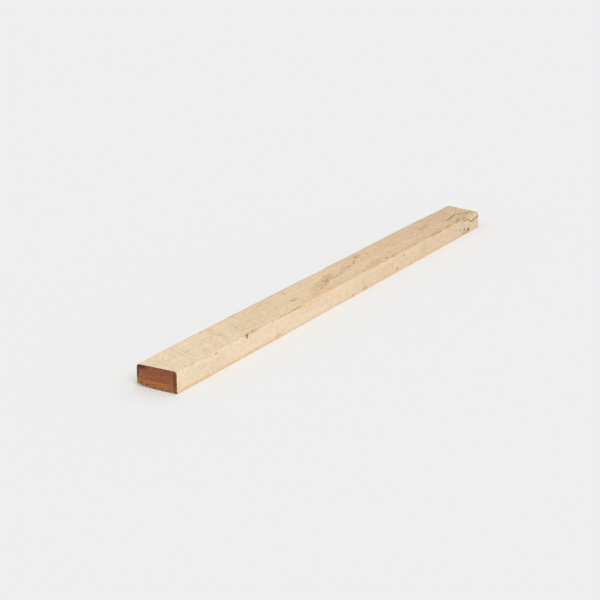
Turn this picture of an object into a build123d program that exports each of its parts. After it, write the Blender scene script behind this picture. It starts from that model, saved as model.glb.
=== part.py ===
from build123d import *
import os

# A rough-sawn hardwood batten, one piece of stock, lying on its wide face.
# The origin is the middle of its length and width, at the level that it lies on.
# +X runs along the grain to the far end, -Y is the front edge and +Z is up. Sizes are in millimetres.

# The sawn section and the length it was docked to.
length = 1200.0
width = 80.0
thickness = 40.0

# The front upper arris is rubbed round by handling, and the others are nearly as the saw left them.
rubbed_arris_radius = 5.0
sawn_arris_radius = 1.2

# The rear upper arris is rubbed too, but only at the near end: a steep facet that runs out along it.
rubbed_corner_height = 3.2
rubbed_corner_width = 3.2
rubbed_corner_length = 90.0

# Each end was docked a little out of square: its front corner stands back from its rear one.
near_end_skew = 2.0
far_end_skew = 5.0

# Wane, where the underside ran out of the log at the near end, along the rear lower arris.
log_radius = 400.0
wane_rise = 4.2
wane_width = 50.0
wane_length = 300.0

# The top droops towards the far end, straight across its width.
droop = 1.8
droop_length = 170.0

# The far end's front upper corner has sunk and worn: a shallow facet on the top and a steep one at the arris.
worn_corner_drop = 4.7
worn_corner_width = 55.0
worn_corner_length = 105.0
worn_arris_height = 8.0
worn_arris_width = 4.0
worn_arris_length = 70.0

# Cracks are V-shaped: their opening at the surface and their depth, where each is at its widest.
top_check_opening = 1.2
top_check_depth = 7.0
edge_check_opening = 1.4
edge_check_depth = 6.0
middle_check_opening = 0.8
middle_check_depth = 3.0
arris_shake_opening = 0.6
arris_shake_depth = 2.0
pin_slit_opening = 2.2
pin_slit_depth = 4.0
nick_opening = 2.6
nick_depth = 2.6

# A tool that cuts a crack stands this far proud of the surface.
clearance = 1.0

# The check in the top at the far end: distance back from that end, distance in from the front edge.
top_check_line = [
    (119.0, 24.5),
    (108.0, 26.8),
    (98.6, 26.0),
    (83.5, 29.4),
    (72.6, 30.4),
    (60.0, 31.5),
    (55.5, 30.5),
    (52.5, 25.0),
    (49.0, 24.4),
    (41.7, 22.2),
    (36.6, 20.0),
    (28.3, 18.8),
    (15.0, 18.8),
    (-2.0, 18.0),
]

# The split in the front edge at the far end: distance back from that end, distance down from the top.
edge_check_line = [
    (91.0, 4.8),
    (82.0, 6.2),
    (73.0, 8.0),
    (62.7, 8.2),
    (55.2, 9.3),
    (51.9, 13.3),
    (45.7, 16.7),
    (38.2, 17.2),
    (30.8, 16.3),
    (21.8, 15.5),
    (14.5, 13.7),
    (7.7, 12.6),
    (-2.0, 11.2),
]

# The crooked check around mid-length: distance past mid-length, distance in from the front edge.
middle_check_line = [
    (-88.0, 18.8),
    (-72.0, 20.3),
    (-55.0, 22.2),
    (-45.5, 28.0),
    (-35.0, 37.6),
    (-24.0, 35.6),
    (-17.0, 33.6),
    (-8.0, 32.2),
    (2.0, 32.6),
    (10.0, 31.2),
    (17.0, 32.9),
    (24.0, 38.5),
    (31.0, 43.9),
    (39.0, 45.0),
    (54.0, 44.1),
    (70.0, 42.6),
    (77.5, 41.8),
    (96.0, 48.2),
    (110.0, 55.3),
    (126.0, 63.5),
    (141.0, 64.6),
    (159.0, 62.4),
    (167.0, 54.0),
]

# The shakes just below the front upper arris: distances from the near end to their starts and their finishes.
arris_shakes = [(83.0, 122.0), (300.0, 410.0)]
arris_shake_drop = 1.2

# The slit left by a pin knot: distances from the near end and from the front edge, its length and its slant.
pin_slit_position = 423.0
pin_slit_inset = 28.0
pin_slit_length = 12.0
pin_slit_slant = -28.0

# The nick across the front upper arris: its distance from the near end and its length across the arris.
nick_position = 217.0
nick_length = 8.0


def across(start, finish):
    """The unit vector square to the run from start to finish, on its left."""
    run = (finish - start).normalized()
    return Vector(-run.Y, run.X, 0)


def crack(face, line, opening, depth):
    """The waste of a V-shaped crack in a face: a wedge for each run of a crooked line, pointed at both tips."""
    points = [Vector(u, v, 0) for u, v in line]
    flare = (depth + clearance) / depth
    sections = [Vertex(*points[0])]
    for before, here, after in zip(points, points[1:], points[2:]):
        side = (across(before, here) + across(here, after)).normalized() * (opening * flare / 2)
        lift = Vector(0, 0, clearance)
        floor = Vector(0, 0, -depth)
        sections.append(Face(Wire.make_polygon([here + side + lift, here - side + lift, here + floor])))
    sections.append(Vertex(*points[-1]))
    return [face * loft([start, finish], ruled=True) for start, finish in zip(sections, sections[1:])]


def plane_over(first, second, third):
    """The plane through three points, with its upper side up."""
    normal = (second - first).cross(third - first)
    if normal.Z < 0:
        normal = -normal
    return Plane(origin=first, z_dir=normal)


# The stock: the sawn section with its worn arrises, run out to length.
near_end = -length / 2
far_end = length / 2
front = -width / 2
rear = width / 2

with BuildSketch(Plane.YZ.offset(near_end)) as sawn_section:
    with Locations((0, thickness / 2)):
        Rectangle(width, thickness)
    fillet(sawn_section.vertices().group_by(Axis.Y)[-1].sort_by(Axis.X)[0], rubbed_arris_radius)
    fillet(sawn_section.vertices().group_by(Axis.Y)[-1].sort_by(Axis.X)[-1], sawn_arris_radius)
    fillet(sawn_section.vertices().group_by(Axis.Y)[0], sawn_arris_radius)
stock = extrude(sawn_section.sketch, length, dir=(1, 0, 0))

# Docking: the outline seen from above, with its skewed ends.
docked_outline = Polygon(
    (near_end, rear),
    (near_end + near_end_skew, front),
    (far_end - far_end_skew, front),
    (far_end, rear),
    align=None,
)
stock = stock & extrude(docked_outline, thickness)

# The wane: what lies outside the round of the log, along the rear lower arris.
wane_inner = Vector(near_end, rear - wane_width, 0)
wane_outer = Vector(near_end, rear, wane_rise)
wane_chord = wane_outer - wane_inner
log_inward = Vector(0, -wane_chord.Z, wane_chord.Y).normalized()
log_offset = (log_radius**2 - (wane_chord.length / 2) ** 2) ** 0.5
log_axis_start = (wane_inner + wane_outer) / 2 + log_inward * log_offset
log_axis_finish = Vector(near_end + wane_length, rear, 0) + log_inward * log_radius
log_run = log_axis_finish - log_axis_start
log_plane = Plane(origin=log_axis_start - log_run, z_dir=log_run)
log = extrude(log_plane * Circle(log_radius), 3 * log_run.length)
wane_waste = Pos(near_end + wane_length / 2, rear - wane_width / 2, 0) * Box(
    wane_length + 2 * clearance, wane_width + 2 * clearance, 2 * wane_rise + 2 * clearance
)
stock = stock - (wane_waste - log)

# The rubbed corner: everything outside its steep facet goes.
rubbed_facet = plane_over(
    Vector(near_end, rear, thickness - rubbed_corner_height),
    Vector(near_end, rear - rubbed_corner_width, thickness),
    Vector(near_end + rubbed_corner_length, rear, thickness),
)
stock = split(stock, rubbed_facet, keep=Keep.BOTTOM)

# The droop: everything above a slope that falls to the far end goes.
droop_slope = plane_over(
    Vector(far_end, front, thickness - droop),
    Vector(far_end, rear, thickness - droop),
    Vector(far_end - droop_length, front, thickness),
)
stock = split(stock, droop_slope, keep=Keep.BOTTOM)

# The worn corner: everything above the shallow facet goes, then everything outside the steep one.
shallow_facet = plane_over(
    Vector(far_end, front + worn_corner_width, thickness - droop),
    Vector(far_end, front, thickness - worn_corner_drop),
    Vector(far_end - worn_corner_length, front, thickness - droop * (1 - worn_corner_length / droop_length)),
)
stock = split(stock, shallow_facet, keep=Keep.BOTTOM)
steep_facet = plane_over(
    Vector(far_end, front, thickness - worn_corner_drop - worn_arris_height),
    Vector(far_end, front + worn_arris_width, thickness - worn_corner_drop),
    Vector(far_end - worn_arris_length, front, thickness - worn_corner_drop),
)
stock = split(stock, steep_facet, keep=Keep.BOTTOM)

# The faces that the cracks are cut into, each with its own x along the batten.
arris_inset = rubbed_arris_radius * (1 - 0.5**0.5)
top_face = Plane(origin=(0, front, thickness), x_dir=(1, 0, 0), z_dir=(0, 0, 1))
edge_face = Plane(origin=(0, front, thickness), x_dir=(1, 0, 0), z_dir=(0, -1, 0))
arris_face = Plane(
    origin=(near_end, front + arris_inset, thickness - arris_inset), x_dir=(1, 0, 0), z_dir=(0, -1, 1)
)

top_check = crack(
    top_face,
    [(far_end - back, inset) for back, inset in top_check_line],
    top_check_opening,
    top_check_depth,
)
edge_check = crack(
    edge_face,
    [(far_end - back, -drop) for back, drop in edge_check_line],
    edge_check_opening,
    edge_check_depth,
)
middle_check = crack(top_face, middle_check_line, middle_check_opening, middle_check_depth)
arris_checks = []
for start, finish in arris_shakes:
    arris_checks += crack(
        arris_face * Pos(0, -arris_shake_drop, 0),
        [(start, 0), ((start + finish) / 2, 0), (finish, 0)],
        arris_shake_opening,
        arris_shake_depth,
    )
pin_slit = crack(
    top_face * Pos(near_end + pin_slit_position, pin_slit_inset, 0) * Rot(0, 0, pin_slit_slant),
    [(-pin_slit_length / 2, 0), (0, 0), (pin_slit_length / 2, 0)],
    pin_slit_opening,
    pin_slit_depth,
)
nick = crack(
    arris_face * Pos(nick_position, 0, 0),
    [(0, -nick_length / 2), (0, 0), (0, nick_length / 2)],
    nick_opening,
    nick_depth,
)
batten = stock - [*top_check, *edge_check, *middle_check, *arris_checks, *pin_slit, *nick]

os.makedirs("parts", exist_ok=True)
export_step(batten, "parts/batten.step")
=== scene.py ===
import math
import random

import bmesh
import bpy
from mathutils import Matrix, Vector


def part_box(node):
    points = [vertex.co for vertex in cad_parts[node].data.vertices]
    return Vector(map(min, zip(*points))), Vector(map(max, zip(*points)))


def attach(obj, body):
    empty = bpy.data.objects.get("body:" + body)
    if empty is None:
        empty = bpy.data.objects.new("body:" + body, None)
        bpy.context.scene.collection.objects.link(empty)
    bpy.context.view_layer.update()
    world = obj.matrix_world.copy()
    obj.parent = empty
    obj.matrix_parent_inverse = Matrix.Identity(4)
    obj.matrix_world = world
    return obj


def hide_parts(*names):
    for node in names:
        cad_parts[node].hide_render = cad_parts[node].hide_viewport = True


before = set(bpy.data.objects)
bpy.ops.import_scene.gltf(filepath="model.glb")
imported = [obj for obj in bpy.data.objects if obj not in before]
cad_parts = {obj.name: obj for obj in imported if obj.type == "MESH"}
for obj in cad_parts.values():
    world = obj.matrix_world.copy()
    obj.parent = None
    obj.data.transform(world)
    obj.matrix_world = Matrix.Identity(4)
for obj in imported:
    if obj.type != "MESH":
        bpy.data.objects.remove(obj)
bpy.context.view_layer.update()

# The stock: one length of hardwood, ripped from the log on a band saw, left rough and docked a little
# out of square at both ends. It is a plain block until the saw, the weather and handling have marked it.
mm = 0.001
low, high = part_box("batten")
near_end, far_end = low.x, high.x
front, rear = low.y, high.y
thickness = high.z
width = rear - front

near_end_skew = 2.0 * mm
far_end_skew = 5.0 * mm
rubbed_arris = 5.0 * mm
arris_cells = 4
edge_cells = 16
top_cells = 30
front_cells = edge_cells - arris_cells // 2
underside_cells = top_cells + arris_cells // 2
longest_split = 20

# The cells are finest at the torn far end and at the near end that faces the viewer.
near_zone = near_end + 40 * mm
torn_zone = far_end - 140 * mm
zones = (
    (near_end, near_zone, 1.0 * mm),
    (near_zone, torn_zone, 2.2 * mm),
    (torn_zone, far_end, 0.8 * mm),
)


def pick(kind, wanted):
    """Selects the vertices, edges or faces that pass a test, and nothing else."""
    bpy.ops.mesh.select_mode(type=kind)
    bpy.ops.mesh.select_all(action="DESELECT")
    shape = bmesh.from_edit_mesh(bpy.context.object.data)
    parts = {"VERT": shape.verts, "EDGE": shape.edges, "FACE": shape.faces}[kind]
    for part in parts:
        if wanted(part):
            part.select_set(True)
    bmesh.update_edit_mesh(bpy.context.object.data)


def run_of(edge):
    """How far an edge runs along the batten, across it and up it."""
    run = edge.verts[1].co - edge.verts[0].co
    return Vector((abs(run.x), abs(run.y), abs(run.z)))


def middle_of(edge):
    """The middle of an edge."""
    return (edge.verts[0].co + edge.verts[1].co) / 2


bpy.ops.object.select_all(action="DESELECT")
bpy.ops.mesh.primitive_cube_add(size=1.0, location=(low + high) / 2, scale=high - low)
batten = bpy.context.object
batten.name = "hardwood_batten"
batten.data.name = "hardwood_batten"
bpy.ops.object.transform_apply(location=True, rotation=False, scale=True)

bpy.ops.object.mode_set(mode="EDIT")
pick("VERT", lambda vert: vert.co.x < 0 and vert.co.y < 0)
bpy.ops.transform.translate(value=(near_end_skew, 0, 0))
pick("VERT", lambda vert: vert.co.x > 0 and vert.co.y < 0)
bpy.ops.transform.translate(value=(-far_end_skew, 0, 0))
pick("EDGE", lambda edge: run_of(edge).x > width and middle_of(edge).z > mm and middle_of(edge).y < 0)
bpy.ops.mesh.bevel(offset=rubbed_arris, segments=arris_cells, affect="EDGES")
pick("EDGE", lambda edge: run_of(edge).x > width and (middle_of(edge).z < mm or middle_of(edge).y > 0))
bpy.ops.mesh.mark_sharp()
pick("FACE", lambda face: abs(face.normal.x) > 0.9)
bpy.ops.mesh.delete(type="FACE")
for zone_edge in (near_zone, torn_zone):
    bpy.ops.mesh.select_all(action="SELECT")
    bpy.ops.mesh.bisect(plane_co=(zone_edge, 0, 0), plane_no=(1, 0, 0))
for start, finish, cell in zones:
    stretches = math.ceil((finish - start) / cell / longest_split)
    stretch = (finish - start) / stretches
    for run, cells in ((finish - start, stretches), (stretch, round(stretch / cell))):
        if cells > 1:
            pick("EDGE", lambda edge: start < middle_of(edge).x < finish and run_of(edge).x > 0.8 * run)
            bpy.ops.mesh.subdivide(number_cuts=cells - 1)
pick("EDGE", lambda edge: run_of(edge).y > width / 2 and middle_of(edge).z > thickness / 2)
bpy.ops.mesh.subdivide(number_cuts=top_cells - 1)
pick("EDGE", lambda edge: run_of(edge).y > width / 2)
bpy.ops.mesh.subdivide(number_cuts=underside_cells - 1)
for on_front, cells in ((True, front_cells), (False, edge_cells)):
    pick("EDGE", lambda edge: run_of(edge).z > thickness / 2 and (middle_of(edge).y < 0) == on_front)
    bpy.ops.mesh.subdivide(number_cuts=cells - 1)

# Each end is closed by a grid whose corners are the middle of the rubbed arris and the other three arrises.
# The near end is filled down its rear side first, and the far end across its top.
for end_sign, span in ((-1, edge_cells), (1, underside_cells)):
    pick("EDGE", lambda edge: edge.is_boundary and middle_of(edge).x * end_sign > 0)
    shape = bmesh.from_edit_mesh(batten.data)
    ring = [vert for vert in shape.verts if vert.select]
    shape.select_history.clear()
    shape.select_history.add(max(ring, key=lambda vert: vert.co.y + vert.co.z))
    bmesh.update_edit_mesh(batten.data)
    bpy.ops.mesh.fill_grid(span=span)

# The torn corner gets cells of half the size.
pick(
    "FACE",
    lambda face: face.calc_center_median().x > far_end - 105 * mm
    and face.calc_center_median().y < -4 * mm
    and face.calc_center_median().z > 20 * mm,
)
bpy.ops.mesh.subdivide(number_cuts=1)
bpy.ops.object.mode_set(mode="OBJECT")


# Wear: the saw wandered and left a washboard, handling rubbed the arrises ragged, the underside ran out of
# the log at the near end, and the far front corner has rotted, sunk and worn. All of it only takes wood
# away, so the piece stays inside the sawn section.
def step_up(value, start, finish):
    """0 before the start, 1 past the finish, and a smooth climb between them, in either direction."""
    share = min(max((value - start) / (finish - start), 0.0), 1.0)
    return share * share * (3 - 2 * share)


def sink(name, depth, where, cell=None, turn=0.0, axis="NORMAL"):
    """Moves the surface in by up to a depth, where the weight says, in a cloudy pattern of a given cell."""
    group = batten.vertex_groups.new(name=name)
    for vert in batten.data.vertices:
        weight = where(vert.co, vert.normal)
        if weight > 0.001:
            group.add([vert.index], min(weight, 1.0), "REPLACE")
    bpy.ops.object.select_all(action="DESELECT")
    batten.select_set(True)
    bpy.context.view_layer.objects.active = batten
    bpy.ops.object.modifier_add(type="DISPLACE")
    dent = batten.modifiers[-1]
    dent.vertex_group = name
    dent.direction = axis
    dent.mid_level = 0.0
    dent.strength = -depth
    ruler = None
    if cell:
        clouds = bpy.data.textures.new(name, "CLOUDS")
        clouds.noise_scale = 1.0
        clouds.noise_depth = 2
        ruler = bpy.data.objects.new(name, None)
        ruler.scale = cell
        ruler.rotation_euler.z = turn
        bpy.context.scene.collection.objects.link(ruler)
        bpy.context.view_layer.update()
        dent.texture = clouds
        dent.texture_coords = "OBJECT"
        dent.texture_coords_object = ruler
    bpy.ops.object.modifier_apply(modifier=dent.name)
    batten.vertex_groups.remove(batten.vertex_groups[name])
    if ruler:
        bpy.data.objects.remove(ruler)


front_upper, rear_upper, front_lower, rear_lower = (
    (front, thickness), (rear, thickness), (front, 0.0), (rear, 0.0)
)


def beside(arris, place, start, finish):
    """1 at a long arris, fading out over a stretch of the surfaces beside it."""
    return 1 - step_up(abs(place.y - arris[0]) + abs(place.z - arris[1]), start, finish)


saw_slant = math.radians(-23)
wane_rise = 4.6 * mm
wane_width = 52 * mm
wane_length = 300 * mm
wane_depth = 16 * mm
droop = 1.0 * mm
droop_length = 170 * mm
corner_drop = 3.4 * mm
corner_width = 62 * mm
corner_length = 105 * mm
corner_depth = 18 * mm


def drop_of(x, y):
    """How far the top has sunk at a place: a droop to the far end, and a slope to its front corner."""
    drooped = max((x - (far_end - droop_length)) / droop_length, 0)
    down_slope = (x - far_end) / corner_length + (front + corner_width - y) / corner_width
    return droop * drooped + corner_drop * max(down_slope, 0) ** 0.75


def sunken_at(place):
    """The share of the deepest drop at a place, fading out down the sides."""
    share = drop_of(place.x, place.y) / (droop + corner_drop)
    return share * max(1 - (thickness - place.z) / corner_depth, 0)


def wane_of(place):
    """The share of the wane's full rise at a place, fading out up the rear side."""
    along = 1 - (place.x - near_end) / wane_length
    across = (place.y - (rear - wane_width)) / wane_width
    return max(along + across - 1, 0) * max(1 - place.z / wane_depth, 0)


def rubbed_rear_at(place):
    """The rubbed rear upper arris: worst at the near end, bruised past mid-length and at the far end."""
    from_end = place.x - near_end
    near_corner = 0.3 * (1 - step_up(from_end, 85 * mm, 130 * mm)) + 0.7 * max(1 - from_end / (45 * mm), 0)
    long_bruise = 0.5 * step_up(place.x, -75 * mm, 0) * (1 - step_up(place.x, 27 * mm, 30 * mm))
    soft_bruise = 0.25 * step_up(place.x, 60 * mm, 80 * mm) * (1 - step_up(place.x, 150 * mm, 230 * mm))
    far_corner = 0.35 * step_up(place.x, 440 * mm, 540 * mm)
    along = near_corner + long_bruise + soft_bruise + far_corner
    return along * max(1 - max(rear - place.y, thickness - place.z) / (7 * mm), 0) ** 2


def splintered_at(place):
    """The ragged lower rim of the near end, where the docking saw broke out."""
    from_end = 1 - step_up(place.x, near_end, near_end + 12 * mm)
    return from_end * (1 - step_up(place.z, 4 * mm, 8 * mm)) * step_up(place.y, -38 * mm, -28 * mm)


def end_rim_at(place):
    """1 at the rim of each end, where the docking saw broke fibres out."""
    inset = min(abs(place.y - front), abs(rear - place.y), place.z, thickness - place.z)
    from_end = min(place.x - near_end, far_end - place.x)
    return (1 - step_up(inset, 0, 3 * mm)) * (1 - step_up(from_end, 2 * mm, 8 * mm))


def worn_top_at(place):
    """Where handling wore the far front corner down, on the top."""
    along = step_up(place.x, 530 * mm, 592 * mm)
    across = 1 - step_up(place.y, front + 2 * mm, front + 12 * mm)
    return along * across * step_up(place.z, 22 * mm, 35 * mm)


def worn_side_at(place):
    """Where handling wore the far front corner back, on the front edge."""
    along = step_up(place.x, 530 * mm, 592 * mm)
    return along * step_up(place.z, 26 * mm, 36 * mm) * (1 - step_up(place.y, front, front + 16 * mm))


def torn_corner_at(place):
    """The torn wood of the far front corner, on the top and on the front edge, up to the rim of the end."""
    rim_place = far_end - far_end_skew * (rear - place.y) / width
    along = step_up(place.x, 495 * mm, 560 * mm)
    along *= 1 - step_up(place.x, rim_place - 4 * mm, rim_place - 1 * mm)
    return along * (1 - step_up(place.y, -26 * mm, -12 * mm)) * step_up(place.z, 22 * mm, 28 * mm)


def torn_patch_at(place):
    """The strip above the split in the front edge, where a splinter has come away."""
    along = step_up(place.x, 540 * mm, 548 * mm) * (1 - step_up(place.x, 584 * mm, 592 * mm))
    up = step_up(place.z, 25.5 * mm, 27 * mm) * (1 - step_up(place.z, 33 * mm, 35 * mm))
    return along * up * (1 - step_up(place.y, front + 4 * mm, front + 7 * mm))


sink("saw_wander", 0.2 * mm, lambda place, way: 1.0, cell=(0.14, 0.05, 0.05))
sink("washboard", 0.15 * mm, lambda place, way: 1.0 - abs(way.x), cell=(0.0045, 0.09, 0.09), turn=saw_slant)
sink("raised_fibres", 0.12 * mm, lambda place, way: 1.0, cell=(0.045, 0.005, 0.005))
sink(
    "ragged_front_arris",
    0.5 * mm,
    lambda place, way: beside(front_upper, place, 3 * mm, 10 * mm)
    * (1 - step_up(place.x, 585 * mm, 592 * mm)),
    cell=(0.016, 0.008, 0.008),
)
sink(
    "ragged_lower_arrises",
    0.5 * mm,
    lambda place, way: (beside(front_lower, place, 0, 4 * mm) + beside(rear_lower, place, 0, 5 * mm))
    * step_up(place.x, near_end, near_end + 60 * mm),
    cell=(0.011, 0.006, 0.006),
)
sink(
    "ragged_rear_arris",
    0.3 * mm,
    lambda place, way: beside(rear_upper, place, 0, 5 * mm),
    cell=(0.02, 0.008, 0.008),
)
sink("rubbed_rear_top", 1.6 * mm, lambda place, way: rubbed_rear_at(place) * (way.z > 0.3), axis="Z")
sink("rubbed_rear_side", 1.6 * mm, lambda place, way: rubbed_rear_at(place) * (way.y > 0.3), axis="Y")
sink("wane", -wane_rise, lambda place, way: wane_of(place), axis="Z")
sink("sunken_corner", droop + corner_drop, lambda place, way: sunken_at(place), axis="Z")
sink("worn_far_top", 0.3 * mm, lambda place, way: worn_top_at(place), axis="Z")
sink("worn_far_side", -0.9 * mm, lambda place, way: worn_side_at(place), axis="Y")
sink("torn_fibres", 0.9 * mm, lambda place, way: torn_corner_at(place), cell=(0.016, 0.0022, 0.0022))
sink("torn_patch", 0.8 * mm, lambda place, way: torn_patch_at(place))
sink(
    "splintered_foot",
    -1.2 * mm,
    lambda place, way: splintered_at(place),
    cell=(0.02, 0.005, 0.005),
    axis="Z",
)

# The arrises that the saw left are then eased a little. The rims of the ends stay as they were docked, with
# fibres broken out of them.
eased_arris = 0.6 * mm
bpy.ops.object.mode_set(mode="EDIT")
pick("EDGE", lambda edge: not edge.smooth and run_of(edge).x > 0.7 * edge.calc_length())
bpy.ops.mesh.bevel(offset=eased_arris, segments=3, affect="EDGES")
bpy.ops.object.mode_set(mode="OBJECT")

rim_cell = (0.005, 0.005, 0.005)
sink("near_rim", -0.25 * mm, lambda place, way: end_rim_at(place) * (place.x < 0), cell=rim_cell, axis="X")
sink("far_rim", 0.25 * mm, lambda place, way: end_rim_at(place) * (place.x > 0), cell=rim_cell, axis="X")


# Shakes and checks: the wood has cracked as it dried, most of all at the far end, and lost chips on the
# arris. Each crack is cut by a crooked V-shaped wedge, and all of them go in one cut.
# A point of a line gives, in millimetres, its place along the batten and its place across the top or up the
# front edge, and then the share of the full opening and depth that the crack has there.
top_check_start = ((464, -6.3, 0.15), (470.6, -10, 0.5), (477.5, -12.1, 0.3), (480, -13.2, 0.1))
top_check = (
    (479, -16.4, 0.15), (484, -14.8, 0.8), (492.3, -13.2, 0.9), (501.4, -14, 1.15), (516.5, -10.6, 1.0),
    (527.4, -9.6, 1.0), (539.8, -8.5, 0.7), (547, -8.9, 0.15),
)
top_check_end = (
    (539.5, -14.4, 0.2), (543.1, -15.2, 1.1), (551.1, -15.6, 0.8), (558.3, -17.8, 0.8), (562.5, -21.5, 1.3),
    (571.7, -21.2, 0.9), (585.2, -21.2, 0.9), (592.7, -21.2, 0.9), (606, -22, 1.0),
)
edge_split_branch = ((499, 29.4, 0.1), (502.2, 31.8, 0.6), (507.7, 36.1, 0.5), (509, 37.2, 0.1))
edge_split = (
    (509, 35.4, 0.1), (518.1, 33.8, 0.7), (527, 32, 0.8), (537.3, 31.8, 0.9), (544.8, 30.7, 1.0),
    (548.1, 26.7, 1.4), (554.3, 23.3, 1.2), (561.8, 22.8, 1.0), (569.2, 23.7, 1.1), (578.2, 24.5, 1.3),
    (585.5, 26.3, 1.1), (592.3, 27.4, 1.1), (606, 28.8, 1.2),
)
middle_check_near = (
    (-93, -21.6, 0.1), (-88.2, -21.2, 0.4), (-72.8, -19.7, 0.6), (-54.9, -17.8, 0.6), (-45.4, -12.8, 0.8),
    (-40, -9, 0.1),
)
middle_check = (
    (-40, -3.8, 0.1), (-34.9, -2.4, 0.6), (-29.6, -1.9, 0.9), (-24, -4.4, 1.0), (-17.2, -6.4, 1.0),
    (-7.9, -7.8, 1.0), (1.7, -7.4, 0.9), (9.7, -8.8, 0.7), (17.2, -7.1, 0.5), (23.5, -2, 0.5),
    (30.9, 3.9, 1.0), (38.9, 5, 1.0), (46.6, 4.3, 1.0), (54, 4.1, 0.9), (62.5, 4.6, 0.6), (69.6, 2.6, 0.6),
    (77.4, 1.8, 0.4), (83.5, 4.1, 0.4), (90, 6.2, 0.1),
)
middle_check_far = (
    (91, 7, 0.1), (96, 8.2, 0.4), (109.8, 15.3, 0.5), (126.3, 23.5, 0.9), (141, 24.6, 0.5),
    (149.9, 22.5, 0.5), (154.5, 22.2, 0.1),
)
arris_shake_near = (
    (-522, 37.2, 0.1), (-514, 36.2, 0.9), (-506, 36.4, 0.7), (-498, 35.4, 1.0), (-490, 35.8, 0.5),
    (-478, 35.2, 0.1),
)
arris_shake = (
    (-302, -1.2, 0.1), (-292, -1.1, 0.6), (-268, -1.3, 0.7), (-242, -1.2, 0.5), (-222, -1.3, 0.7),
    (-214, -1.1, 1.1), (-196, -1.2, 1.1), (-183, -1.3, 0.1),
)

# A crack that runs across the batten has its wedge turned, and its points lie along and beside its own line.
check_spur = ((-12, 0.2, 0.1), (-7, -0.4, 1.0), (-2, 0.5, 0.8), (4, 0, 0.5), (12, 0.6, 0.1))
split_spur = ((-4, 0, 0.1), (0, 0.3, 0.8), (3.5, 0.8, 0.1))
pin_slit = ((-6, 0.2, 0.1), (-3, 0, 1.0), (1, 0, 0.8), (6, -0.2, 0.1))
nick = ((-3.6, 0, 0.1), (-1, 0, 0.9), (1.6, 0.2, 1.0), (3.8, 0, 0.1))
light_pit = ((-1.7, 0, 0.1), (0, 0, 0.8), (1.7, 0, 0.1))
dark_pit = ((-1.8, 0, 0.1), (0, 0.2, 1.0), (1.8, 0, 0.1))
bar_pit = ((-3.8, 0.6, 0.1), (-1.4, 0, 1.0), (1.4, 0.3, 0.8), (3.8, -0.4, 0.1))

# A line breaks every crack_step, by up to crack_waver, and a wedge stands proud of the surface by clearance.
crack_step = 3.5 * mm
crack_waver = 0.3 * mm
clearance = 1.2 * mm
arris_inset = rubbed_arris * (1 - math.cos(math.pi / 4))
on_top = (0.0, Vector((0, 0, thickness)))
on_front = (math.pi / 2, Vector((0, front, 0)))
on_arris = (math.pi / 4, Vector((0, front + arris_inset, thickness - arris_inset)))
dice = random.Random(11)
cutters = []


def follow(line):
    """The points of a crooked line with uneven runs between them, as a crack breaks from fibre to fibre."""
    points = []
    for before, after in zip(line, line[1:]):
        start = Vector((before[0] * mm, before[1] * mm, before[2]))
        finish = Vector((after[0] * mm, after[1] * mm, after[2]))
        runs = max(round((finish - start).xy.length / crack_step), 1)
        for run in range(runs):
            point = start.lerp(finish, run / runs)
            if run:
                point.y += dice.uniform(-crack_waver, crack_waver)
                point.z *= dice.uniform(0.8, 1.2)
            points.append(point)
    points.append(finish)
    return points


def cut_crack(line, opening, depth, face, turn=0.0, about=(0.0, 0.0)):
    """A wedge drawn from point to point of a line, laid on a face, and turned in it about a place."""
    tilt, origin = face
    points = follow(line)
    sunk = [drop_of(point.x, point.y) if face is on_top and not turn else 0.0 for point in points]
    bpy.ops.object.select_all(action="DESELECT")
    bpy.ops.mesh.primitive_plane_add(size=1.0, rotation=(0, math.pi / 2, 0))
    wedge = bpy.context.object
    bpy.ops.object.transform_apply(location=True, rotation=True, scale=True)
    bpy.ops.object.mode_set(mode="EDIT")
    pick("VERT", lambda vert: vert.co.z < 0)
    bpy.ops.mesh.merge(type="CENTER")
    bpy.ops.mesh.select_all(action="SELECT")
    share = points[0].z
    flare = (depth + clearance) / depth
    bpy.ops.transform.resize(value=(1, opening * flare * share, depth * share + clearance))
    here = Vector((points[0].x, points[0].y, (clearance - depth * share) / 2 - sunk[0]))
    bpy.ops.transform.translate(value=here)
    for point, lowered in zip(points[1:], sunk[1:]):
        there = Vector((point.x, point.y, (clearance - depth * point.z) / 2 - lowered))
        bpy.ops.mesh.extrude_region_move(TRANSFORM_OT_translate={"value": there - here})
        bpy.ops.transform.resize(
            value=(1, point.z / share, (depth * point.z + clearance) / (depth * share + clearance)),
            center_override=there,
        )
        here, share = there, point.z
    bpy.ops.mesh.select_all(action="SELECT")
    bpy.ops.mesh.normals_make_consistent(inside=False)
    bpy.ops.object.mode_set(mode="OBJECT")
    along, up = about[0] * mm, about[1] * mm
    wedge.rotation_mode = "ZYX"
    wedge.rotation_euler = (tilt, 0, math.radians(turn))
    wedge.location = origin + Vector((along, up * math.cos(tilt), up * math.sin(tilt)))
    bpy.ops.object.transform_apply(location=True, rotation=True, scale=True)
    cutters.append(wedge)


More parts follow.
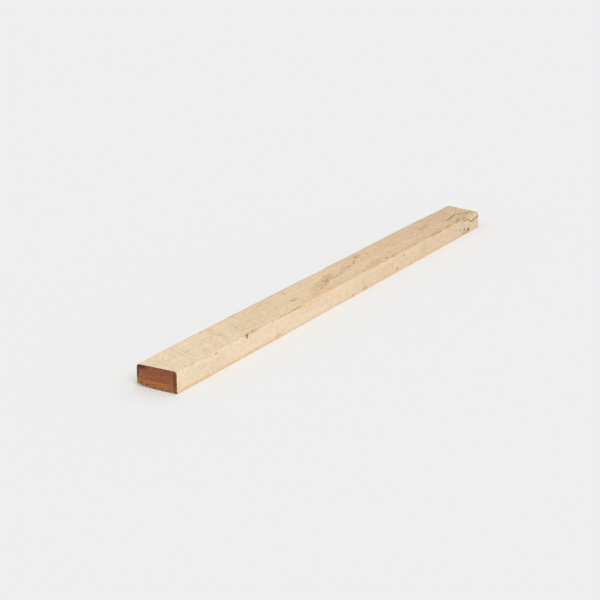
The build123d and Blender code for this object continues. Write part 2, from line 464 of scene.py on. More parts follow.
for line in (top_check_start, top_check, top_check_end):
    cut_crack(line, 1.3 * mm, 6 * mm, on_top)
cut_crack(edge_split_branch, 0.9 * mm, 2.5 * mm, on_front)
cut_crack(edge_split, 1.2 * mm, 6 * mm, on_front)
cut_crack(split_spur, 1.2 * mm, 3 * mm, on_front, turn=90, about=(547, 23))
for line in (middle_check_near, middle_check, middle_check_far):
    cut_crack(line, 0.4 * mm, 1.2 * mm, on_top)
cut_crack(check_spur, 0.5 * mm, 1.4 * mm, on_top, turn=-98, about=(157, 9))
cut_crack(arris_shake_near, 0.45 * mm, 0.9 * mm, on_front)
cut_crack(arris_shake, 0.8 * mm, 1.8 * mm, on_arris)
cut_crack(pin_slit, 3.0 * mm, 3.5 * mm, on_top, turn=-36, about=(-176.8, -12))
cut_crack(nick, 2.4 * mm, 1.1 * mm, on_arris, turn=70, about=(-383, -2.4))
cut_crack(light_pit, 2.6 * mm, 0.9 * mm, on_front, about=(499.7, 16.1))
cut_crack(dark_pit, 2.8 * mm, 2 * mm, on_front, about=(521.2, 12.9))
cut_crack(bar_pit, 3.4 * mm, 2.4 * mm, on_front, turn=90, about=(543.5, 7.5))

crack_walls_painted_shade = bpy.data.materials.new("crack_walls_painted_shade")
sawn_faces = bpy.data.materials.new("sawn_faces")
docked_ends = bpy.data.materials.new("docked_ends")
batten.data.materials.append(sawn_faces)
batten.data.materials.append(docked_ends)

bpy.ops.object.select_all(action="DESELECT")
for wedge in cutters:
    wedge.data.materials.append(crack_walls_painted_shade)
    wedge.select_set(True)
bpy.context.view_layer.objects.active = cutters[0]
bpy.ops.object.join()
crack_tool = bpy.context.object

bpy.ops.object.select_all(action="DESELECT")
batten.select_set(True)
bpy.context.view_layer.objects.active = batten
bpy.ops.object.mode_set(mode="EDIT")
pick("FACE", lambda face: abs(face.normal.x) > 0.7)
batten.active_material_index = 1
bpy.ops.object.material_slot_assign()
bpy.ops.object.mode_set(mode="OBJECT")

bpy.ops.object.modifier_add(type="BOOLEAN")
cracking = batten.modifiers[-1]
cracking.object = crack_tool
cracking.operation = "DIFFERENCE"
cracking.solver = "MANIFOLD"
cracking.material_mode = "TRANSFER"
bpy.ops.object.modifier_apply(modifier=cracking.name)
bpy.data.objects.remove(crack_tool)
bpy.ops.object.shade_smooth_by_angle(angle=math.radians(40))

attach(batten, "root")
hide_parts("batten")


# Finish: bare wood, as the weather and handling left it. The sawn faces are pale and go tan towards the far
# end, the docked ends show brown end grain, and the walls inside the cracks are painted dark as painted
# shade, streaked like torn wood.
def paint(red, green, blue):
    """A colour as it is seen, from 0 to 255, made ready for a socket."""
    shares = [value / 255 for value in (red, green, blue)]
    return (*[s / 12.92 if s <= 0.04045 else ((s + 0.055) / 1.055) ** 2.4 for s in shares], 1.0)


def add_node(tree, kind, inputs=None, **settings):
    """Adds a node to a tree, with its settings, and gives its inputs values or links."""
    made = tree.nodes.new(kind)
    for setting, value in settings.items():
        setattr(made, setting, value)
    for socket, value in (inputs or {}).items():
        if isinstance(value, bpy.types.NodeSocket):
            tree.links.new(value, made.inputs[socket])
        else:
            made.inputs[socket].default_value = value
    return made.outputs


def reckon(tree, operation, *values, clamp=False):
    """Arithmetic on values or sockets."""
    return add_node(tree, "ShaderNodeMath", dict(enumerate(values)), operation=operation, use_clamp=clamp)[0]


def reckon_vector(tree, operation, *values):
    """Arithmetic on vectors."""
    return add_node(tree, "ShaderNodeVectorMath", dict(enumerate(values)), operation=operation)


def fade(tree, value, start, finish, bottom=0.0, top=1.0):
    """A smooth climb of a value from one level to another."""
    return add_node(
        tree,
        "ShaderNodeMapRange",
        {0: value, 1: start, 2: finish, 3: bottom, 4: top},
        interpolation_type="SMOOTHSTEP",
    )[0]


def fade_evenly(tree, value, start, finish, bottom=0.0, top=1.0):
    """A straight climb of a value from one level to another."""
    return add_node(tree, "ShaderNodeMapRange", {0: value, 1: start, 2: finish, 3: bottom, 4: top})[0]


def tint(tree, factor, under, over):
    """Lays one colour over another by a mask."""
    return add_node(tree, "ShaderNodeMix", {0: factor, 6: under, 7: over}, data_type="RGBA")[2]


def cloud(tree, place_socket, cell, detail=2.0, roughness=0.5, shift=(0.0, 0.0, 0.0)):
    """Noise from 0 to 1 with cells of a size in millimetres along, across and up, moved by so many cells."""
    scale = [1 / size for size in cell]
    mapping = {"Vector": place_socket, "Location": shift, "Scale": scale}
    in_cells = add_node(tree, "ShaderNodeMapping", mapping)[0]
    noise = {"Vector": in_cells, "Scale": 1.0, "Detail": detail, "Roughness": roughness}
    return add_node(tree, "ShaderNodeTexNoise", noise)[0]


def new_group(name, inputs, outputs):
    """A shader node group with named inputs and outputs."""
    group = bpy.data.node_groups.new(name, "ShaderNodeTree")
    for label, (kind, value) in inputs.items():
        socket = group.interface.new_socket(label, in_out="INPUT", socket_type=kind)
        if value is not None:
            socket.default_value = value
    for label in outputs:
        group.interface.new_socket(label, in_out="OUTPUT", socket_type="NodeSocketFloat")
    return group, add_node(group, "NodeGroupInput"), group.nodes.new("NodeGroupOutput").inputs


def use(tree, group, inputs):
    """Places a group in a tree."""
    return add_node(tree, "ShaderNodeGroup", inputs, node_tree=group)


# Growth rings run nearly flat through the section, about a pith that lies above the batten and behind it.
number, vector = "NodeSocketFloat", "NodeSocketVector"
growth_rings, given, result = new_group(
    "growth_rings",
    {
        "Place": (vector, None),
        "Pith": (vector, (0, 40, 330)),
        "Ring Width": (number, 4.0),
        "Waver": (number, 4.0),
    },
    ("Late Wood", "Ring Tone"),
)
drift = reckon(growth_rings, "SUBTRACT", cloud(growth_rings, given["Place"], (240, 60, 60)), 0.5)
flutter = reckon(growth_rings, "SUBTRACT", cloud(growth_rings, given["Place"], (22, 9, 9), 3.0), 0.5)
from_pith = reckon_vector(growth_rings, "SUBTRACT", given["Place"], given["Pith"])[0]
across = reckon_vector(growth_rings, "MULTIPLY", from_pith, (0, 1, 1))[0]
radius = reckon_vector(growth_rings, "LENGTH", across)[1]
radius = reckon(growth_rings, "MULTIPLY_ADD", drift, given["Waver"], radius)
small_waver = reckon(growth_rings, "MULTIPLY", given["Waver"], 0.35)
radius = reckon(growth_rings, "MULTIPLY_ADD", flutter, small_waver, radius)
turns = reckon(growth_rings, "DIVIDE", radius, given["Ring Width"])
phase = reckon(growth_rings, "FRACT", turns)
late = reckon(
    growth_rings,
    "MULTIPLY",
    fade(growth_rings, phase, 0.35, 0.85),
    fade(growth_rings, phase, 0.9, 1.0, 1.0, 0.0),
)
tone = add_node(
    growth_rings,
    "ShaderNodeTexWhiteNoise",
    {"W": reckon(growth_rings, "FLOOR", turns)},
    noise_dimensions="1D",
)[0]
growth_rings.links.new(late, result["Late Wood"])
growth_rings.links.new(tone, result["Ring Tone"])

# Fibres run along the batten: soft streaks, and the pores that the saw opened, seen as short dark dashes.
wood_fibre, given, result = new_group(
    "wood_fibre",
    {"Place": (vector, None), "Length": (number, 18.0), "Thickness": (number, 1.6)},
    ("Streak", "Pore", "Fuzz"),
)
fibre_size = (given["Length"], given["Thickness"], given["Thickness"])
cell = add_node(wood_fibre, "ShaderNodeCombineXYZ", dict(enumerate(fibre_size)))[0]
in_cells = reckon_vector(wood_fibre, "DIVIDE", given["Place"], cell)[0]
streak = cloud(wood_fibre, in_cells, (1, 1, 1), 4.0, 0.62)
pores = cloud(wood_fibre, given["Place"], (3.5, 0.42, 0.42), 1.0)
fuzz = cloud(wood_fibre, given["Place"], (4.2, 0.8, 0.8), 3.0, 0.7)
wood_fibre.links.new(streak, result["Streak"])
wood_fibre.links.new(fade(wood_fibre, pores, 0.6, 0.7), result["Pore"])
wood_fibre.links.new(fuzz, result["Fuzz"])

# The saw left slanting scores across the grain, uneven in depth and in how far apart they are.
saw_scores, given, result = new_group(
    "saw_scores",
    {"Place": (vector, None), "Way Across": (vector, (0.92, -0.39, -0.25)), "Pitch": (number, 2.8)},
    ("Score", "Patch"),
)
travel = reckon_vector(saw_scores, "DOT_PRODUCT", given["Place"], given["Way Across"])[1]
side_step = reckon_vector(saw_scores, "MULTIPLY", given["Place"], (0.0, 0.012, 0.012))[0]
in_pitches = reckon(saw_scores, "DIVIDE", travel, given["Pitch"])
lines = add_node(saw_scores, "ShaderNodeCombineXYZ", {0: in_pitches})[0]
score = cloud(saw_scores, reckon_vector(saw_scores, "ADD", lines, side_step)[0], (1, 1, 1), 3.0, 0.6)
saw_scores.links.new(score, result["Score"])
saw_scores.links.new(cloud(saw_scores, given["Place"], (70, 30, 30), 3.0), result["Patch"])

# A stain is a soft patch with a ragged edge, turned about the vertical, with its own reach each way.
stain_patch, given, result = new_group(
    "stain_patch",
    {
        "Place": (vector, None),
        "Centre": (vector, (0, 0, 0)),
        "Reach": (vector, (10, 10, 10)),
        "Lengthwise": (vector, (1, 0, 0)),
        "Crosswise": (vector, (0, 1, 0)),
        "Noise": (number, 0.5),
        "Ragged": (number, 0.6),
        "Soft": (number, 0.5),
    },
    ("Mask",),
)
offset = reckon_vector(stain_patch, "SUBTRACT", given["Place"], given["Centre"])[0]
axes = (given["Lengthwise"], given["Crosswise"], (0, 0, 1))
steps = [reckon_vector(stain_patch, "DOT_PRODUCT", offset, axis)[1] for axis in axes]
turned = add_node(stain_patch, "ShaderNodeCombineXYZ", dict(enumerate(steps)))[0]
in_reaches = reckon_vector(stain_patch, "DIVIDE", turned, given["Reach"])[0]
spread = reckon_vector(stain_patch, "LENGTH", in_reaches)[1]
edge_noise = reckon(stain_patch, "SUBTRACT", given["Noise"], 0.5)
raggedness = reckon(stain_patch, "MULTIPLY", given["Ragged"], 2.0)
spread = reckon(stain_patch, "MULTIPLY_ADD", edge_noise, raggedness, spread)
inner = reckon(stain_patch, "SUBTRACT", 1.0, given["Soft"])
outer = reckon(stain_patch, "ADD", 1.0, given["Soft"])
stain_patch.links.new(fade(stain_patch, spread, inner, outer, 1.0, 0.0), result["Mask"])


def stain(tree, where, noise, centre, stretch, turn, ragged=0.6):
    """The mask of a stain, turned by some degrees about the vertical."""
    cosine, sine = math.cos(math.radians(turn)), math.sin(math.radians(turn))
    inputs = {"Place": where, "Centre": centre, "Reach": stretch, "Noise": noise, "Ragged": ragged}
    inputs |= {"Lengthwise": (cosine, sine, 0), "Crosswise": (-sine, cosine, 0)}
    return use(tree, stain_patch, inputs)["Mask"]


# The stain beside a crack and each thin mark follow a line: this gives the distance to a straight run of it.
crack_run, given, result = new_group(
    "crack_run",
    {"Place": (vector, None), "Start": (vector, (0, 0, 0)), "Finish": (vector, (1, 0, 0))},
    ("Distance",),
)
run = reckon_vector(crack_run, "SUBTRACT", given["Finish"], given["Start"])[0]
reach = reckon_vector(crack_run, "SUBTRACT", given["Place"], given["Start"])[0]
share = reckon(
    crack_run,
    "DIVIDE",
    reckon_vector(crack_run, "DOT_PRODUCT", reach, run)[1],
    reckon_vector(crack_run, "DOT_PRODUCT", run, run)[1],
    clamp=True,
)
along = add_node(crack_run, "ShaderNodeVectorMath", {0: run, "Scale": share}, operation="SCALE")[0]
crack_run.links.new(reckon_vector(crack_run, "DISTANCE", reach, along)[1], result["Distance"])


def nearest(tree, where, lines):
    """How many millimetres it is to the nearest of some crooked lines, by every second point of each."""
    closest = None
    for every_point in lines:
        line = every_point[:-1:2] + every_point[-1:]
        for start, finish in zip(line, line[1:]):
            distance = use(tree, crack_run, {"Place": where, "Start": start, "Finish": finish})["Distance"]
            closest = distance if closest is None else reckon(tree, "MINIMUM", closest, distance)
    return closest


def top_line(line):
    """The points of a crack in the top, in millimetres."""
    return [(x, y, thickness / mm - drop_of(x * mm, y * mm) / mm) for x, y, gape in line]


def edge_line(line):
    """The points of a crack in the front edge, in millimetres."""
    return [(x, front / mm, z) for x, z, gape in line]


def shade_by_length(tree, x, stops):
    """A colour that changes along the batten, from stop to stop."""
    share = fade_evenly(tree, x, near_end / mm, far_end / mm)
    ramp = tree.nodes.new("ShaderNodeValToRGB")
    tree.links.new(share, ramp.inputs[0])
    elements = ramp.color_ramp.elements
    for stop, (position, shade) in enumerate(stops):
        element = elements[stop] if stop < len(elements) else elements.new(1.0)
        element.position = (position * mm - near_end) / (far_end - near_end)
        element.color = paint(*shade)
    return ramp.outputs[0]


def add_output(tree):
    """The surface input of a new material output."""
    return tree.nodes.new("ShaderNodeOutputMaterial").inputs["Surface"]


def begin(material):
    """Empties a material, and gives it a shader, and the place on the batten in millimetres."""
    material.use_nodes = True
    tree = material.node_tree
    tree.nodes.clear()
    shader = tree.nodes.new("ShaderNodeBsdfPrincipled")
    tree.links.new(shader.outputs[0], add_output(tree))
    on_batten = add_node(tree, "ShaderNodeTexCoord")["Object"]
    where = add_node(tree, "ShaderNodeMapping", {"Vector": on_batten, "Scale": (1 / mm, 1 / mm, 1 / mm)})[0]
    return tree, shader, where


# The sawn faces: pale, mottled and streaked, with the scores of the saw, stains and a few thin marks.
# Painted shade darkens the top, the scores and the lips of some cracks and shakes.
tree, shader, where = begin(sawn_faces)
spot = add_node(tree, "ShaderNodeSeparateXYZ", {0: where})
way = add_node(tree, "ShaderNodeSeparateXYZ", {0: add_node(tree, "ShaderNodeTexCoord")["Normal"]})
x, y, z = spot[0], spot[1], spot[2]
on_top_mask = fade(tree, way[2], 0.45, 0.85)
# The top is painted darker and warmer than the edges and the underside: partly the top's own weathered tone,
# partly painted shade for the light that falls more on the front edge.
shaded_top_stops = (
    (-600, (242, 221, 190)), (-200, (234, 210, 176)), (150, (225, 197, 159)), (560, (208, 181, 147)),
)
side_stops = (
    (-600, (245, 226, 197)), (-200, (243, 222, 193)), (150, (236, 212, 181)), (560, (224, 200, 171)),
)
shaded_top_colour = shade_by_length(tree, x, shaded_top_stops)
side_colour = shade_by_length(tree, x, side_stops)
colour = tint(tree, on_top_mask, side_colour, shaded_top_colour)

# Growth rings show as broad faint bands.
rings = use(tree, growth_rings, {"Place": where, "Ring Width": 4.2, "Waver": 7.0})
colour = tint(tree, reckon(tree, "MULTIPLY", rings["Late Wood"], 0.14), colour, paint(212, 176, 134))
colour = tint(tree, reckon(tree, "MULTIPLY", rings["Ring Tone"], 0.10), colour, paint(246, 228, 202))

# Clouds of tan, rose and straw, from hand-sized to thumb-sized, then a fine mottle both darker and lighter.
broad = cloud(tree, where, (120, 30, 30), 3.0, 0.55)
colour = tint(tree, fade(tree, broad, 0.45, 0.8, 0.0, 0.30), colour, paint(208, 178, 142))
rosy = cloud(tree, where, (26, 11, 11), 2.0, shift=(34, 0, 0))
colour = tint(tree, fade(tree, rosy, 0.5, 0.72, 0.0, 0.35), colour, paint(234, 200, 172))
straw = cloud(tree, where, (24, 10, 10), 2.0, shift=(0, 70, 0))
colour = tint(tree, fade(tree, straw, 0.5, 0.72, 0.0, 0.35), colour, paint(228, 208, 158))
mottle = cloud(tree, where, (5.4, 4.4, 3.2), 3.0, 0.7)
colour = tint(tree, fade(tree, mottle, 0.5, 0.72, 0.0, 0.48), colour, paint(198, 162, 122))
colour = tint(tree, fade(tree, mottle, 0.5, 0.28, 0.0, 0.42), colour, paint(252, 240, 220))
smudge = cloud(tree, where, (13, 8, 7), 3.0, 0.65, shift=(0, 0, 50))
smudged = reckon(tree, "MULTIPLY", fade(tree, smudge, 0.48, 0.7), fade(tree, x, -250.0, 250.0, 0.12, 0.45))
colour = tint(tree, smudged, colour, paint(196, 166, 134))

fibre = use(tree, wood_fibre, {"Place": where})
streaks = fade(tree, fibre["Streak"], 0.5, 0.75)
streaks = reckon(tree, "MULTIPLY", streaks, fade(tree, on_top_mask, 0.0, 1.0, 0.24, 0.12))
colour = tint(tree, streaks, colour, paint(196, 158, 116))
colour = tint(tree, reckon(tree, "MULTIPLY", fibre["Pore"], 0.30), colour, paint(150, 112, 78))
specks = cloud(tree, where, (3.6, 3.0, 2.4), 1.0)
colour = tint(tree, fade(tree, specks, 0.71, 0.79, 0.0, 0.5), colour, paint(150, 114, 80))

# The saw's scores are painted as darker lines on the top: painted shade in their shallow grooves, in
# patches, and most of all on the nearer half.
scores = use(tree, saw_scores, {"Place": where})
scored = reckon(tree, "MULTIPLY_ADD", fade(tree, scores["Patch"], 0.42, 0.62), 0.6, 0.25)
scored = reckon(tree, "MULTIPLY", scored, fade(tree, x, -150.0, 150.0, 1.0, 0.4))
scored = reckon(tree, "MULTIPLY", scored, on_top_mask)
score_shade = reckon(tree, "MULTIPLY", fade(tree, scores["Score"], 0.5, 0.68, 0.0, 0.5), scored)
colour = tint(tree, score_shade, colour, paint(176, 146, 112))

# The front lower arris keeps a golden, resinous edge, and both upper arrises are rubbed tan.
edge_noise = reckon(tree, "SUBTRACT", cloud(tree, where, (22, 5, 5), 4.0, 0.65), 0.5)
low_band = reckon(tree, "MULTIPLY_ADD", edge_noise, 9.0, z)
low_mask = fade(tree, low_band, 2.5, 8.0, 1.0, 0.0)
low_mask = reckon(tree, "MULTIPLY", low_mask, fade(tree, x, -340.0, -240.0, 0.62, 0.25))
low_mask = reckon(tree, "MULTIPLY", low_mask, fade(tree, way[1], 0.2, -0.2))
colour = tint(tree, low_mask, colour, paint(230, 196, 142))
rust = reckon(tree, "MULTIPLY", low_mask, fade(tree, mottle, 0.52, 0.68, 0.0, 0.6))
colour = tint(tree, rust, colour, paint(206, 152, 92))
rear_band = reckon(tree, "MULTIPLY_ADD", edge_noise, -7.0, y)
colour = tint(tree, fade(tree, rear_band, 35.0, 39.5, 0.0, 0.4), colour, paint(200, 166, 124))
arris_band = reckon(tree, "MULTIPLY_ADD", edge_noise, 14.0, y)
arris_mask = fade(tree, arris_band, -40.0, -29.0, 1.0, 0.0)
arris_mask = reckon(tree, "MULTIPLY", arris_mask, fade(tree, x, -260.0, -60.0, 0.28, 0.4))
arris_mask = reckon(tree, "MULTIPLY", arris_mask, fade(tree, z, 35.5, 38.5))
colour = tint(tree, arris_mask, colour, paint(202, 162, 114))

# Thin marks: where each starts and finishes and how wide it is, in millimetres, its colour and its strength.
marks = (
    # This mark is painted shade along the groove of the shake in the front edge by the near end.
    ((-524, -40, 37.4), (-478, -40, 35.4), 1.5, paint(150, 106, 70), 0.85),
    ((158.7, 20.9, 40), (155.3, -3, 40), 1.4, paint(168, 132, 90), 0.45),
    # This mark is painted shade along the grooves of the shake in the front arris.
    ((-302, -39.4, 37.4), (-184, -39.4, 37.4), 1.3, paint(182, 126, 80), 0.6),
    ((90, -39.6, 38.6), (505, -39.6, 37.0), 2.6, paint(180, 136, 88), 0.22),
    ((-281.5, -40, 28), (-280, -40, 4), 1.6, paint(188, 162, 132), 0.45),
    ((-319, 1, 40), (-331, -27, 40), 1.2, paint(190, 160, 124), 0.5),
)
for start, finish, breadth, shade, strength in marks:
    aside = use(tree, crack_run, {"Place": where, "Start": start, "Finish": finish})["Distance"]
    aside = reckon(tree, "MULTIPLY_ADD", edge_noise, -3.0 * breadth, aside)
    colour = tint(tree, fade(tree, aside, 0.3 * breadth, breadth, strength, 0.0), colour, shade)

# Stains: the centre and the reach of each in millimetres, its turn in degrees, its colour and its strength.
stains = (
    ((-285, 4, 40), (95, 34, 20), 12, paint(208, 184, 152), 0.3),
    ((-95, -31, 40), (95, 7, 6), 4, paint(218, 176, 126), 0.35),
    ((-150, -39, 36), (52, 8, 6), 0, paint(226, 186, 138), 0.4),
    ((-22, 3, 40), (26, 9, 20), 8, paint(184, 148, 104), 0.4),
    ((-46.3, -6.7, 40), (6, 4, 20), 0, paint(166, 124, 80), 0.5),
    ((-60, -6, 40), (70, 9, 20), 14, paint(200, 158, 106), 0.42),
    ((85, 14, 40), (80, 10, 20), 16, paint(206, 174, 132), 0.35),
    ((108, -30, 40), (46, 9, 5), 8, paint(200, 160, 112), 0.4),
    ((-120, -27, 40), (10, 3, 20), 0, paint(196, 150, 98), 0.4),
    ((157, -33, 40), (9, 4, 3), 10, paint(164, 124, 84), 0.5),
    ((180, -38, 39), (8, 3, 2.5), 0, paint(166, 124, 82), 0.45),
    ((262, -39, 39), (26, 5, 3), 0, paint(204, 158, 112), 0.4),
    ((378, -39, 38), (26, 4, 3), 0, paint(176, 128, 82), 0.55),
    ((440, -39, 38), (14, 4, 3), 0, paint(176, 134, 90), 0.4),
    ((126, 23.5, 40), (4, 3, 9), 0, paint(130, 96, 66), 0.5),
    ((-168, -15, 40), (12, 3, 9), -28, paint(186, 156, 116), 0.4),
    ((-179, -11, 40), (5, 2, 9), -36, paint(112, 80, 50), 0.75),
    ((-366, -39, 38.4), (24, 4, 3.4), 0, paint(190, 146, 100), 0.6),
    ((-381.5, -40, 35.5), (3.6, 5, 4), 0, paint(122, 72, 44), 0.95),
    ((-312, 39, 40), (14, 3, 6), 0, paint(196, 132, 80), 0.5),
    ((-175, 39, 40), (12, 3, 6), 0, paint(196, 132, 80), 0.5),
    ((402, 4, 40), (30, 6, 9), 8, paint(184, 150, 110), 0.4),
    ((503.7, -31.6, 38), (7, 4, 3), 0, paint(138, 102, 74), 0.5),
    ((488, -37, 38), (16, 3, 2.5), 12, paint(160, 120, 84), 0.45),
    ((523, -35, 37), (8, 3, 3), 0, paint(150, 112, 78), 0.45),
    ((536, -15, 38), (44, 12, 20), 0, paint(198, 164, 128), 0.35),
    ((566, -32, 36), (24, 7, 20), 4, paint(222, 196, 160), 0.4),
    ((566, -40, 31), (24, 9, 4.5), 0, paint(232, 208, 176), 0.55),
    ((592, -32, 34), (9, 9, 9), 0, paint(214, 172, 126), 0.25),
    ((222, -40, 29), (3, 5, 2.4), 0, paint(150, 114, 80), 0.8),
    ((194, -40, 8), (3, 5, 2.4), 0, paint(140, 104, 74), 0.8),
    ((54, -40, 5), (8, 5, 3.4), 0, paint(190, 148, 98), 0.7),
    ((6, -40, 3.6), (6, 5, 3), 0, paint(196, 156, 108), 0.6),
    ((-279, -40, 6), (8, 5, 5), 0, paint(204, 172, 132), 0.5),
    ((318, -40, 24), (12, 5, 14), 0, paint(206, 180, 148), 0.45),
    ((526, -40, 6), (16, 12, 6), 0, paint(170, 134, 98), 0.5),
    ((500, -40, 16), (4, 6, 2.5), 0, paint(166, 126, 90), 0.6),
    ((521, -40, 13), (4, 6, 2.5), 0, paint(104, 78, 58), 0.65),
    ((543, -40, 8), (5, 6, 4.5), 0, paint(104, 78, 58), 0.65),
)
grain = fade(tree, mottle, 0.36, 0.62, 0.45, 1.2)
ragged_noise = cloud(tree, where, (9, 4, 4), 4.0, 0.65)
for centre, stretch, turn, shade, strength in stains:
    mask = reckon(tree, "MULTIPLY", stain(tree, where, ragged_noise, centre, stretch, turn), strength)
    colour = tint(tree, reckon(tree, "MULTIPLY", mask, grain), colour, shade)

# The torn far corner is streaked brown along its broken fibres.
torn = reckon(tree, "MULTIPLY", fade(tree, x, 485.0, 540.0), fade(tree, y, -18.0, -30.0))
torn = reckon(tree, "MULTIPLY", torn, fade(tree, z, 24.0, 30.0))
shreds = cloud(tree, where, (14, 2.4, 2.4), 3.0, 0.6)
torn = reckon(tree, "MULTIPLY", torn, fade(tree, shreds, 0.5, 0.66, 0.0, 0.6))
colour = tint(tree, torn, colour, paint(150, 112, 78))

# The wood beside the longer cracks is stained brown, in patches. Right at each crack it is darker: brown
# stain, with painted shade of the narrow crack.
top_cracks = (top_check_start, top_check, top_check_end, middle_check_near, middle_check, middle_check_far)
crack_lines = [top_line(line) for line in top_cracks]
crack_lines.append(edge_line(edge_split))
gap = nearest(tree, where, crack_lines)
gap_noise = reckon(tree, "SUBTRACT", cloud(tree, where, (5, 2, 2), 3.0), 0.5)
gap = reckon(tree, "MULTIPLY_ADD", gap_noise, 3.0, gap)
patchy = fade(tree, cloud(tree, where, (20, 20, 20), 2.0), 0.42, 0.6, 0.1, 1.0)
patchy = reckon(tree, "MAXIMUM", patchy, fade(tree, x, 200.0, 470.0))
near_gap = reckon(tree, "MULTIPLY", fade(tree, gap, 0.3, 3.6, 0.45, 0.0), patchy)
stain_and_shade_at_gap = reckon(tree, "MULTIPLY", fade(tree, gap, 0.1, 0.9, 0.4, 0.0), patchy)
colour = tint(tree, near_gap, colour, paint(168, 128, 82))
colour = tint(tree, stain_and_shade_at_gap, colour, paint(120, 86, 54))

tree.links.new(colour, shader.inputs["Base Color"])
shader.inputs["Specular IOR Level"].default_value = 0.25
roughness = fade(tree, fibre["Fuzz"], 0.3, 0.7, 0.78, 0.95)
tree.links.new(roughness, shader.inputs["Roughness"])
relief = reckon(tree, "MULTIPLY", fibre["Fuzz"], 0.5)
relief = reckon(tree, "MULTIPLY_ADD", fibre["Streak"], 0.25, relief)
relief = reckon(tree, "MULTIPLY_ADD", scores["Score"], -0.6, relief)
bump = add_node(tree, "ShaderNodeBump", {"Strength": 0.6, "Distance": 0.0006, "Height": relief})
tree.links.new(bump[0], shader.inputs["Normal"])

# The docked ends: brown end grain with pores, flat growth rings and the scorch of a dull blade.
tree, shader, where = begin(docked_ends)
spot = add_node(tree, "ShaderNodeSeparateXYZ", {0: where})
y, z = spot[1], spot[2]
colour = tint(tree, fade(tree, z, 4.0, 32.0), paint(170, 108, 60), paint(142, 82, 56))
rings = use(tree, growth_rings, {"Place": where, "Ring Width": 4.4, "Waver": 5.0})
colour = tint(tree, reckon(tree, "MULTIPLY", rings["Late Wood"], 0.5), colour, paint(100, 56, 36))
colour = tint(tree, reckon(tree, "MULTIPLY", rings["Ring Tone"], 0.2), colour, paint(190, 122, 70))
rays = cloud(tree, where, (40, 7, 1.5), 3.0, 0.6)
colour = tint(tree, fade(tree, rays, 0.48, 0.7, 0.0, 0.65), colour, paint(94, 52, 36))
colour = tint(tree, fade(tree, rays, 0.5, 0.3, 0.0, 0.55), colour, paint(188, 122, 76))
blotches = cloud(tree, where, (40, 7, 4), 3.0, 0.6)
colour = tint(tree, fade(tree, blotches, 0.48, 0.7, 0.0, 0.5), colour, paint(172, 104, 62))
pores = cloud(tree, where, (6, 0.6, 0.6), 2.0, 0.6)
colour = tint(tree, fade(tree, pores, 0.58, 0.72, 0.0, 0.4), colour, paint(66, 36, 24))
end_stains = (
    ((-600, -22, 34), (60, 12, 4), 0, paint(140, 72, 54), 0.5),
    ((-600, 31, 37), (60, 9, 4.4), 0, paint(76, 46, 38), 0.9),
    ((-600, 39, 28), (60, 3, 11), 0, paint(80, 48, 38), 0.85),
    ((-600, 39, 10), (60, 2.5, 7), 0, paint(172, 122, 76), 0.8),
    ((-600, 5, 12.5), (60, 26, 1.8), 0, paint(182, 114, 60), 0.6),
    ((-600, 0, 18.5), (60, 22, 0.8), 0, paint(98, 56, 38), 0.5),
    ((-600, 0, 15.5), (60, 24, 0.8), 0, paint(108, 62, 40), 0.5),
    ((-600, -15, 8), (60, 8, 1.4), 0, paint(190, 130, 84), 0.5),
    ((-600, -20, 4), (60, 9, 1.6), 0, paint(166, 108, 58), 0.6),
    ((-600, -36, 20), (60, 3.6, 19), 0, paint(98, 60, 38), 0.85),
    ((-600, -40.4, 17), (60, 1.6, 17), 0, paint(170, 122, 72), 0.7),
    ((-600, -37, 2), (60, 3, 2.5), 0, paint(92, 56, 38), 0.7),
)
ragged_noise = cloud(tree, where, (9, 4, 4), 4.0, 0.65)
for centre, stretch, turn, shade, strength in end_stains:
    mask = stain(tree, where, ragged_noise, centre, stretch, turn, ragged=0.25)
    colour = tint(tree, reckon(tree, "MULTIPLY", mask, strength), colour, shade)

# The rim is dark along the top. Along the front and the ragged underside it is golden, with dark crumbs.
side_inset = reckon(tree, "SUBTRACT", fade(tree, z, 26.0, 14.0, 40.0, 44.0), y)
top_inset = reckon(tree, "SUBTRACT", 40.0, z)
inset = reckon(tree, "SMOOTH_MIN", side_inset, top_inset, 4.0)
inset = reckon(tree, "MULTIPLY_ADD", cloud(tree, where, (9, 5, 5), 3.0), -1.2, inset)
colour = tint(tree, fade(tree, inset, -0.4, 1.6, 0.8, 0.0), colour, paint(80, 44, 36))
rise = reckon(tree, "SUBTRACT", z, fade_evenly(tree, y, -20.0, 40.0, 0.0, 4.6))
fringe = reckon(tree, "MINIMUM", rise, reckon(tree, "MULTIPLY_ADD", y, 1.3, 52.0))
fringe = fade(tree, fringe, 1.2, 4.6, 1.0, 0.0)
crumbs = cloud(tree, where, (9, 3.4, 2.2), 3.0, 0.6)
golden = reckon(tree, "MULTIPLY", fringe, fade(tree, crumbs, 0.52, 0.44, 0.0, 0.75))
dark = reckon(tree, "MULTIPLY", fringe, fade(tree, crumbs, 0.5, 0.57, 0.0, 0.85))
colour = tint(tree, golden, colour, paint(192, 136, 80))
colour = tint(tree, dark, colour, paint(78, 46, 30))
tree.links.new(colour, shader.inputs["Base Color"])
shader.inputs["Specular IOR Level"].default_value = 0.25
shader.inputs["Roughness"].default_value = 0.75
bump = add_node(tree, "ShaderNodeBump", {"Strength": 0.5, "Distance": 0.0006, "Height": pores})
tree.links.new(bump[0], shader.inputs["Normal"])

# The walls of the cracks: painted shade, dark brown and streaked along the torn fibres.
tree, shader, where = begin(crack_walls_painted_shade)
fibre = use(tree, wood_fibre, {"Place": where, "Length": 9.0, "Thickness": 0.9})
colour = tint(tree, fade(tree, fibre["Streak"], 0.35, 0.7), paint(84, 56, 36), paint(150, 106, 68))
tree.links.new(colour, shader.inputs["Base Color"])
shader.inputs["Roughness"].default_value = 0.9
shader.inputs["Specular IOR Level"].default_value = 0.2

# The studio: a plain pale floor that is clear from below, a soft key light from the front and an even sky.
# The pale background is the floor's and the sky's own colour, and no light on the batten is raised for it.
floor_size = 60
key_strength = 1.31
key_softness = math.radians(40)
key_side = Vector((-0.40, -0.50, 0.66))
sky_strength = 0.7

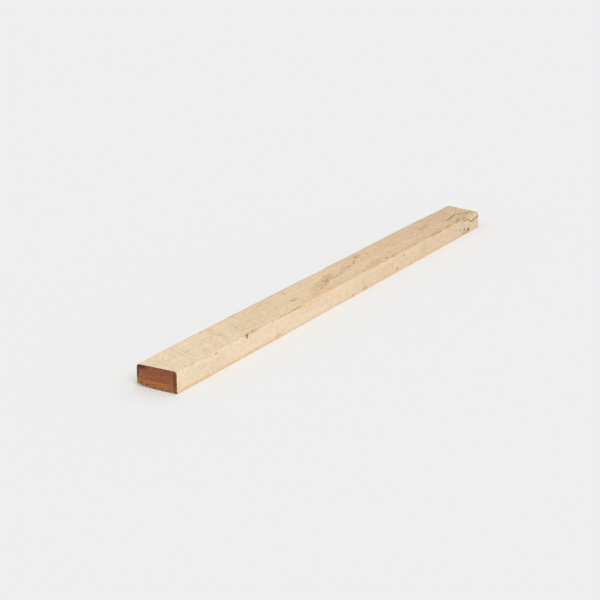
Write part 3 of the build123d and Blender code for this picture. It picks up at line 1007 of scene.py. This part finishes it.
bpy.ops.object.select_all(action="DESELECT")
bpy.ops.mesh.primitive_plane_add(size=floor_size, location=(0, 0, 0))
floor = bpy.context.object
floor.name = "studio_floor"
studio_white = paint(239, 239, 239)
pale_floor = bpy.data.materials.new("pale_floor")
floor.data.materials.append(pale_floor)
pale_floor.use_nodes = True
tree = pale_floor.node_tree
tree.nodes.clear()
matt = add_node(tree, "ShaderNodeBsdfDiffuse", {"Color": studio_white})[0]
clear = add_node(tree, "ShaderNodeBsdfTransparent")[0]
from_below = add_node(tree, "ShaderNodeNewGeometry")["Backfacing"]
shown = add_node(tree, "ShaderNodeMixShader", {0: from_below, 1: matt, 2: clear})[0]
tree.links.new(shown, add_output(tree))

key = bpy.data.objects.new("key_light", bpy.data.lights.new("key_light", "SUN"))
key.data.energy = key_strength
key.data.angle = key_softness
key.rotation_mode = "QUATERNION"
key.rotation_quaternion = key_side.to_track_quat("Z", "Y")
bpy.context.scene.collection.objects.link(key)

world = bpy.data.worlds.new("studio_sky")
bpy.context.scene.world = world
world.use_nodes = True
sky = world.node_tree
sky.nodes.clear()
sees = add_node(sky, "ShaderNodeLightPath")
seen_in_gloss = reckon(sky, "MAXIMUM", sees["Is Glossy Ray"], sees["Is Transmission Ray"])
seen = reckon(sky, "MAXIMUM", sees["Is Camera Ray"], seen_in_gloss)
fill = add_node(sky, "ShaderNodeBackground", {"Color": (1, 1, 1, 1), "Strength": sky_strength})[0]
backdrop = add_node(sky, "ShaderNodeBackground", {"Color": studio_white, "Strength": 1.0})[0]
shown = add_node(sky, "ShaderNodeMixShader", {0: seen, 1: fill, 2: backdrop})[0]
sky.links.new(shown, sky.nodes.new("ShaderNodeOutputWorld").inputs["Surface"])

# The camera looks down on the near end from the front, as in the photograph. Its place and its lens were
# fitted to the seven corners of the batten that show there.
camera_azimuth = math.radians(-59.4139)
camera_elevation = math.radians(18.2486)
camera_place = (-2.557817, -1.433497, 0.954450)
focal_length = 93.689
sensor_width = 36

camera_data = bpy.data.cameras.new("camera")
camera = bpy.data.objects.new("camera", camera_data)
bpy.context.scene.collection.objects.link(camera)
bpy.context.scene.camera = camera
back = Vector((
    math.sin(camera_azimuth) * math.cos(camera_elevation),
    -math.cos(camera_azimuth) * math.cos(camera_elevation),
    math.sin(camera_elevation),
))
camera.location = camera_place
camera.rotation_mode = "QUATERNION"
camera.rotation_quaternion = back.to_track_quat("Z", "Y")
camera_data.sensor_width = sensor_width
camera_data.lens = focal_length
camera_data.clip_end = 100

bpy.context.scene.view_settings.view_transform = "Standard"
